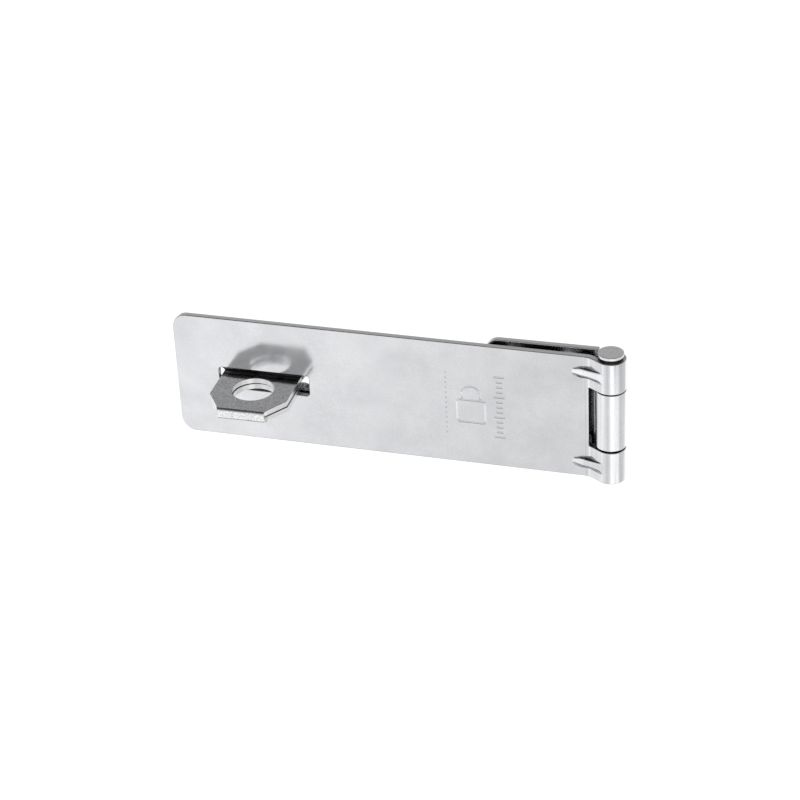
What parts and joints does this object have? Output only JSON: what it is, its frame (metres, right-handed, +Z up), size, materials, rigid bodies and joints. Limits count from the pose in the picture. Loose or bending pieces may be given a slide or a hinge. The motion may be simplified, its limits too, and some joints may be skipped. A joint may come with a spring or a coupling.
{
  "type": "hasp and staple",
  "caption": "Hinged steel hasp with a slotted plate, a screw-on hinge leaf and a folded staple with an eye for a padlock.",
  "frame": {"origin": "back face of the hinge leaf, in the middle of its four screw holes; y = 0 is the surface the leaf and the staple are screwed to", "axes": "+Z up along the hinge pin, +Y into the door or wall, -Y out to the front, +X towards the hinge end"},
  "size_m": [0.155, 0.0273, 0.0484],
  "materials": {
    "plate_zinc": "bright zinc plating over sheet steel, faintly clouded, satin gloss",
    "leaf_zinc": "bright zinc plating over sheet steel, satin gloss",
    "staple_zinc": "bright zinc plating over folded strip steel, fine scratches",
    "pin_steel": "plain turned steel, slightly darker than the plating"
  },
  "bodies": {
    "leaf": {"hinge_leaf": "leaf_zinc"},
    "hasp": {"hasp_plate": "plate_zinc", "hinge_pin": "pin_steel"},
    "staple": {"staple": "staple_zinc"}
  },
  "joints": [
    {"name": "hasp_swing", "type": "hinge", "parent": "leaf", "child": "hasp", "pos_m": [0.025, -0.00505, 0], "axis": [0, 0, 1], "range_deg": [0, 180]},
    {"name": "staple_withdraw", "type": "slide", "parent": "leaf", "child": "staple", "axis": [0, 1, 0], "range_m": [0, 0.035]}
  ]
}
